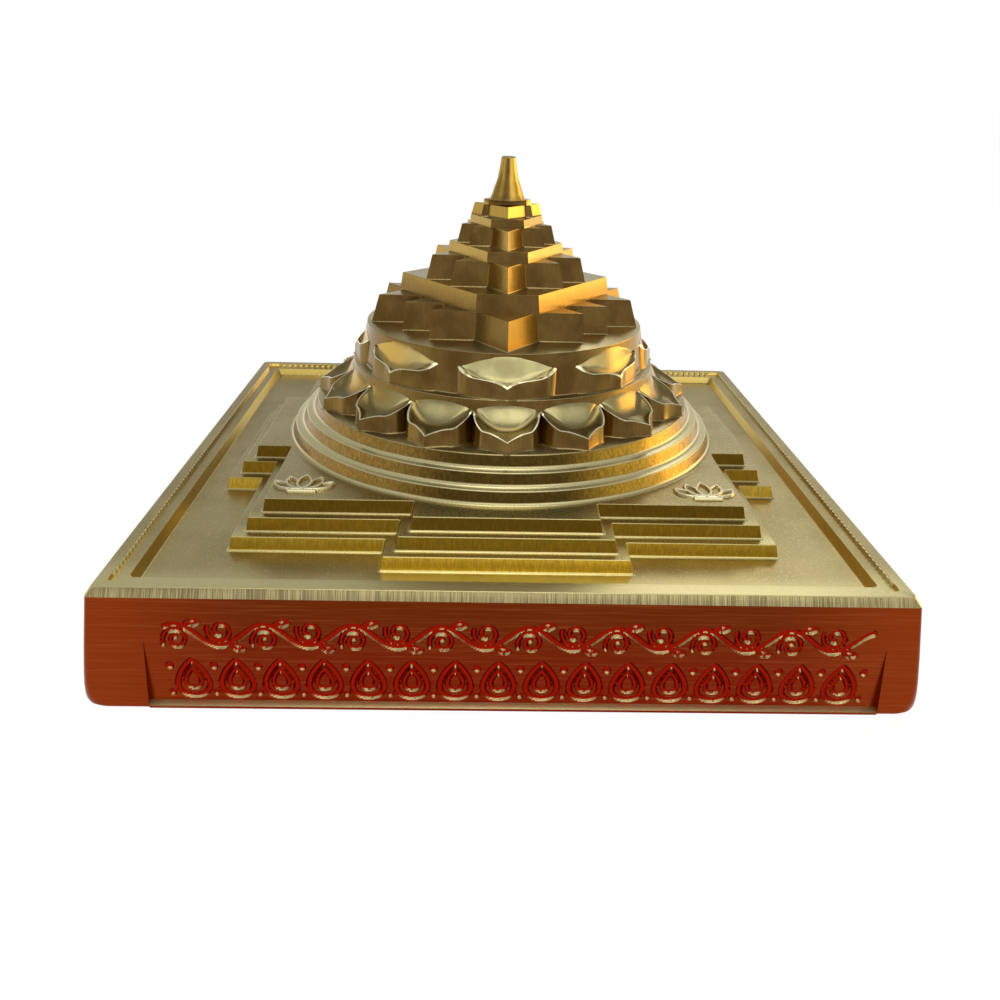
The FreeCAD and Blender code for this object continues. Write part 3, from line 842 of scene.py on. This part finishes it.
def make_drop():
    """The drop on a flared skirt that runs down over the central triangle."""
    low, high = foot("summit_drop"), head("summit_drop")
    skirt = foot("central_triangle")
    profile = [(0, skirt - SINK), (2.1, skirt - SINK), (1.95, skirt + 0.25), (1.78, skirt + 0.7),
               (1.62, low), (1.42, low + 0.5), (1.22, low + 1.1), (1.04, low + 2.0), (0.88, high - 0.5),
               (0.84, high - 0.18), (0.74, high - 0.05), (0.58, high), (0, high)]
    finished("summit_drop_milled", turned(profile, steps=64), brass, "satin_brass", "summit_drop")


def square_face(half, height, corner, steps):
    """A level square face with round corners."""
    shape = bmesh.new()
    spots = [shape.verts.new((x * half, y * half, height)) for x, y in ((-1, -1), (1, -1), (1, 1), (-1, 1))]
    shape.faces.new(spots)
    bmesh.ops.bevel(shape, geom=spots, offset=corner, offset_type="OFFSET", segments=steps,
                    affect="VERTICES", profile=0.5, material=-1)
    return shape


def make_plinth():
    high = head("plinth")
    half = block_half()
    top_half = half - high * PLINTH_DRAFT - EDGE_INSET
    levels = [(half - inset - rise * PLINTH_DRAFT, rise) for rise, inset in FOOT_ROUND]
    levels += [(half - (high - EDGE_DROP) * PLINTH_DRAFT, high - EDGE_DROP),
               (top_half + 0.06, high - 0.08), (top_half, high - 0.02), (top_half - 0.06, high),
               (top_half - RIM_WIDTH, high), (top_half - RIM_WIDTH - 0.12, high - RIM_DEPTH),
               (LEDGE_HALF + 0.05, high - RIM_DEPTH), (LEDGE_HALF, high - RIM_DEPTH - 0.05),
               (FIELD_HALF + 0.06, high - FIELD_DEPTH + 0.08), (FIELD_HALF - 0.06, high - FIELD_DEPTH)]
    width, rise = levels[0]
    corner = along(PLINTH_CORNERS, rise)
    shape = square_face(width, rise, corner, 10)
    face = shape.faces[:][0]
    for wide, rise in levels[1:]:
        face = bmesh.ops.extrude_discrete_faces(shape, faces=[face])["faces"][0]
        tighter = along(PLINTH_CORNERS, rise)
        for vertex in face.verts:
            middle = Vector([math.copysign(width - corner, reach) for reach in vertex.co.xy])
            turn = (vertex.co.xy - middle) * tighter / corner
            middle = Vector([math.copysign(wide - tighter, reach) for reach in vertex.co.xy])
            vertex.co = (middle + turn).to_3d() + UP * rise
        width, corner = wide, tighter
    close(shape)
    block = finished("plinth_milled", shape, plinth_finish, "plinth_brass", "plinth")
    cut_recesses(block)
    keep_faces_even(block)


def cut_recesses(block):
    """Open a recess in each side for its panel."""
    shape = bmesh.new()
    for quarter in range(4):
        cutter = bmesh.new()
        bmesh.ops.create_cube(cutter, size=1)
        depth = 45 - PANEL_BACK
        bmesh.ops.scale(cutter, vec=(PANEL_END - PANEL_START, depth, PANEL_TOP + 1), verts=cutter.verts)
        bmesh.ops.translate(cutter, vec=((PANEL_START + PANEL_END) / 2, -PANEL_BACK - depth / 2,
                                         (PANEL_TOP - 1) / 2), verts=cutter.verts)
        turn_round(cutter, quarter / 4)
        joined(shape, cutter)
    bmesh.ops.scale(shape, vec=(MM, MM, MM), verts=shape.verts)
    cutter = placed("recess_cutter", as_mesh("recess_cutter", shape))
    cut = block.modifiers.new("recess", "BOOLEAN")
    cut.object = cutter
    cut.solver = "EXACT"
    bpy.context.view_layer.update()
    carved = bpy.data.meshes.new_from_object(block.evaluated_get(bpy.context.evaluated_depsgraph_get()))
    block.modifiers.clear()
    block.data = carved
    carved.name = block.name
    bpy.data.objects.remove(cutter)


def arc(centre, radius, start, end, spacing=0.1):
    """Points along an arc, its angles in degrees."""
    count = max(2, int(abs(math.radians(end - start)) * radius / spacing))
    angles = [math.radians(start + (end - start) * step / count) for step in range(count + 1)]
    return [(centre[0] + radius * math.cos(angle), centre[1] + radius * math.sin(angle)) for angle in angles]


def bend(start, first, second, end, count=40):
    """Points along a curve that leaves its start towards first and reaches its end from second."""
    line = []
    for step in range(count + 1):
        t = step / count
        weights = ((1 - t) ** 3, 3 * t * (1 - t) ** 2, 3 * t * t * (1 - t), t ** 3)
        spots = zip(weights, (start, first, second, end))
        pulls = [(weight * spot[0], weight * spot[1]) for weight, spot in spots]
        line.append(tuple(map(sum, zip(*pulls))))
    return line


def mirrored(line):
    return [(-across, up) for across, up in line]


def shifted(line, across, up):
    return [(spot[0] + across, spot[1] + up) for spot in line]


def scroll_strokes():
    """Upper row: a running vine whose every hollow holds a curled tendril and a leaf."""
    pitch, swing, middle = 8.2, 1.05, 7.5
    strokes = []
    stem = [(step * 0.1, middle + swing * math.sin(math.tau * step * 0.1 / pitch))
            for step in range(-316, 345)]
    strokes.append((stem, 0.3))
    for number in range(-8, 8):
        side = 1 if number % 2 == 0 else -1
        at = (number + 0.5) * pitch / 2
        curl = []
        for step in range(60):
            turn = math.radians(200 - step * 8)
            radius = 1.25 - 0.95 * step / 60
            curl.append((at + radius * math.cos(turn) + 0.1,
                         middle - side * (0.45 - radius * math.sin(turn))))
        strokes.append((curl, 0.24))
        leaf = bend((0, 0), (0.5, 0.75), (1.2, 0.9), (1.75, 0.45))
        leaf += bend((0, 0), (0.7, 0.05), (1.2, 0.05), (1.75, 0.45))
        leaf = [(at + 0.9 + x * 0.8, middle + side * (0.95 + z * 0.8)) for x, z in leaf]
        strokes.append((leaf, 0.2))
    return strokes


def bud_strokes():
    """Lower row: lotus buds side by side with beads between them."""
    pitch, low = 4.1, 0.95
    strokes = []
    for number in range(16):
        at = 1.3 + (number - 7.5) * pitch
        outer = bend((0, 0), (2.4, 0.1), (1.5, 2.6), (0, 3.9))
        inner = bend((0, 0.9), (1.15, 1.0), (0.75, 2.2), (0, 2.95))
        for line, width in ((outer, 0.3), (inner, 0.24)):
            strokes.append((shifted(line, at, low), width))
            strokes.append((shifted(mirrored(line), at, low), width))
    for number in range(17):
        at = 1.3 + (number - 8) * pitch
        strokes.append((arc((at, low + 3.3), 0.12, 0, 360, 0.05), 0.3))
        strokes.append((arc((at, low + 0.35), 0.08, 0, 360, 0.05), 0.26))
    return strokes


def stroke_tree(strokes):
    spots = [(across, up, width) for line, width in strokes for across, up in line]
    tree = KDTree(len(spots))
    for index, (across, up, width) in enumerate(spots):
        tree.insert((across, up, 0), index)
    tree.balance()
    return tree, spots


def carving(tree, spots, across, up):
    """How far a cutter has gone in at a spot, from 0 to 1: full along a stroke, none outside it."""
    _, index, distance = tree.find((across, up, 0))
    return eased(limited((1 - distance / (spots[index][2] * 1.2)) / 0.5))


def make_panels():
    """The carved panels of the four sides."""
    tree, spots = stroke_tree(scroll_strokes() + bud_strokes())
    half = block_half()
    columns, rows = round((PANEL_END - PANEL_START) / PANEL_GRAIN), round(PANEL_TOP / PANEL_GRAIN)
    plate = bmesh.new()
    bmesh.ops.create_grid(plate, x_segments=columns, y_segments=rows, size=1)
    carved = plate.verts.layers.float.new("carved")
    for vertex in plate.verts:
        across = PANEL_START + (vertex.co.x + 1) / 2 * (PANEL_END - PANEL_START)
        up = (vertex.co.y + 1) / 2 * PANEL_TOP
        lip = limited((PANEL_LIP + 0.12 - up) / 0.12)
        depth = carving(tree, spots, across, up) * (1 - lip)
        vertex[carved] = depth
        face = min(PANEL_FACE, half - up * PLINTH_DRAFT)
        face += lip * (half - 0.12 - up * PLINTH_DRAFT - face)
        vertex.co = (across, -(face - CARVING_DEPTH * depth), up)
    for vertex in walled(plate):
        vertex.co.y = -PANEL_BACK
    close(plate)
    for quarter, name in enumerate(("front_panel", "right_panel", "back_panel", "left_panel")):
        shape = plate.copy()
        turn_round(shape, quarter / 4)
        finished(name, shape, plinth_finish, "plinth_brass", crease=60)
    plate.free()


def make_notches():
    """The row of small teeth that the cutter left along the inner wall of the rim."""
    high = head("plinth")
    half = block_half() - high * PLINTH_DRAFT - EDGE_INSET - RIM_WIDTH
    teeth = bmesh.new()
    # The teeth are marked 2, for a painted highlight.
    bright = teeth.faces.layers.float.new("scooped")
    count = int(2 * (half - 1) / NOTCH_PITCH)
    start = -count * NOTCH_PITCH / 2
    line = []
    for number in range(count):
        at = start + number * NOTCH_PITCH
        line += [(at, -half + 0.02), (at + NOTCH_PITCH * 0.7, -half + 0.02 + NOTCH_DEPTH)]
    line.append((start + count * NOTCH_PITCH, -half + 0.02))
    line += [(start + count * NOTCH_PITCH, -half - 0.15), (start, -half - 0.15)]
    face = teeth.faces.new([teeth.verts.new((x, y, high - RIM_DEPTH - 0.03)) for x, y in line])
    raised = bmesh.ops.extrude_face_region(teeth, geom=[face])["geom"]
    for item in raised:
        if isinstance(item, bmesh.types.BMVert):
            item.co.z = high - 0.03
    for face in teeth.faces:
        face[bright] = 2
    bmesh.ops.recalc_face_normals(teeth, faces=teeth.faces)
    ring = bmesh.new()
    for quarter in range(4):
        side = teeth.copy()
        turn_round(side, quarter / 4)
        joined(ring, side)
    teeth.free()
    finished("rim_teeth", ring, brass, "satin_brass")


def sprig_strokes():
    """A small lotus flower seen from the side."""
    strokes = [(bend((0, -1.6), (1.1, -0.6), (0.8, 0.9), (0, 2.1)), 0.22),
               (bend((0.1, -1.6), (2.0, -1.2), (2.2, 0.4), (1.7, 1.5)), 0.2),
               (bend((1.7, 1.5), (1.2, 1.2), (0.9, 0.7), (0.75, 0.3)), 0.2),
               (bend((0.2, -1.7), (2.6, -1.8), (3.2, -0.8), (3.1, 0.3)), 0.2),
               (bend((3.1, 0.3), (2.6, 0.2), (2.2, 0.0), (1.95, -0.2)), 0.2)]
    strokes += [(mirrored(line), width) for line, width in strokes]
    strokes.append(([(step * 0.1, -2.15) for step in range(-14, 15)], 0.2))
    return strokes


def make_sprigs():
    """Two raised lotus sprigs on the front corners of the inner walk."""
    tree, spots = stroke_tree(sprig_strokes())
    high = head("inner_walk")
    for name, place in (("left_sprig", (-21.4, -20.9)), ("right_sprig", (21.4, -21.2))):
        plate = bmesh.new()
        bmesh.ops.create_grid(plate, x_segments=90, y_segments=64, size=1)
        raised = plate.verts.layers.float.new("scooped")
        for vertex in plate.verts:
            across, up = vertex.co.x * 3.5, vertex.co.y * 2.5
            rise = carving(tree, spots, across, up)
            # Strokes are marked up to 2 by height: dish tones on their slopes and a painted highlight on top.
            vertex[raised] = 2 * rise
            vertex.co = (place[0] + across, place[1] + up, high - 0.02 + 0.3 * rise)
        for vertex in walled(plate):
            vertex.co.z = high - 0.3
        close(plate)
        finished(name, plate, brass, "satin_brass", crease=60)


def make_floor():
    mesh = bmesh.new()
    bmesh.ops.create_grid(mesh, x_segments=1, y_segments=1, size=6)
    floor = placed("floor", as_mesh("floor", mesh))
    floor.data.materials.append(plain_floor())


def make_camera():
    data = bpy.data.cameras.new("camera")
    data.lens = CAMERA_LENS
    data.sensor_width = CAMERA_SENSOR
    data.clip_start = 0.005
    camera = placed("camera", data)
    camera.matrix_world = (Matrix.Translation(CAMERA_PLACE)
                           @ Matrix.Rotation(math.radians(CAMERA_TURN), 4, "Z")
                           @ Matrix.Rotation(math.radians(90 - CAMERA_DROP), 4, "X")
                           @ Matrix.Rotation(math.radians(CAMERA_TILT), 4, "Z"))
    bpy.context.scene.camera = camera


def make_lamp(name, place, aim, size, power, colour):
    data = bpy.data.lights.new(name, "AREA")
    data.shape = "RECTANGLE"
    data.size, data.size_y = size
    data.energy = power
    data.color = colour
    lamp = placed(name, data)
    lamp.location = place
    lamp.rotation_euler = (Vector(aim) - Vector(place)).to_track_quat("-Z", "Y").to_euler()


def make_world():
    """A studio that is white along the horizon and in front, and greyer overhead and behind."""
    world = bpy.data.worlds.new("studio")
    bpy.context.scene.world = world
    world.use_nodes = True
    tree = world.node_tree
    tree.nodes.clear()

    def ramp(reading, start, end, first, last):
        made = tree.nodes.new("ShaderNodeMapRange")
        made.interpolation_type = "SMOOTHSTEP"
        for name, value in (("From Min", start), ("From Max", end), ("To Min", first), ("To Max", last)):
            made.inputs[name].default_value = value
        tree.links.new(reading, made.inputs["Value"])
        return made.outputs[0]

    spot = tree.nodes.new("ShaderNodeTexCoord")
    split = tree.nodes.new("ShaderNodeSeparateXYZ")
    tree.links.new(spot.outputs["Generated"], split.inputs[0])
    behind = ramp(split.outputs["Z"], 0.085, 0.24, 1.0, 0.4)
    before = ramp(split.outputs["Z"], 0.4, 0.85, 1.0, 0.4)
    either = tree.nodes.new("ShaderNodeMix")
    tree.links.new(ramp(split.outputs["Y"], -0.55, -0.15, 1.0, 0.0), either.inputs[0])
    tree.links.new(behind, either.inputs[2])
    tree.links.new(before, either.inputs[3])
    background = tree.nodes.new("ShaderNodeBackground")
    background.inputs["Color"].default_value = (1, 1, 1, 1)
    output = tree.nodes.new("ShaderNodeOutputWorld")
    tree.links.new(either.outputs[0], background.inputs["Strength"])
    tree.links.new(background.outputs[0], output.inputs["Surface"])


brass = satin_brass()
plinth_finish = plinth_brass()
for name, node in nodes.items():
    node.data.materials.clear()
    node.data.materials.append(plinth_finish if name == "plinth" else brass)

make_camera()
make_plinth()
make_notches()
make_panels()
make_walks()
make_sprigs()
make_girdles()
make_petals()
make_star_tiers()
make_drop()

make_floor()
make_world()
for lamp in LAMPS:
    make_lamp(*lamp)

scene = bpy.context.scene
scene.view_settings.view_transform = "Standard"
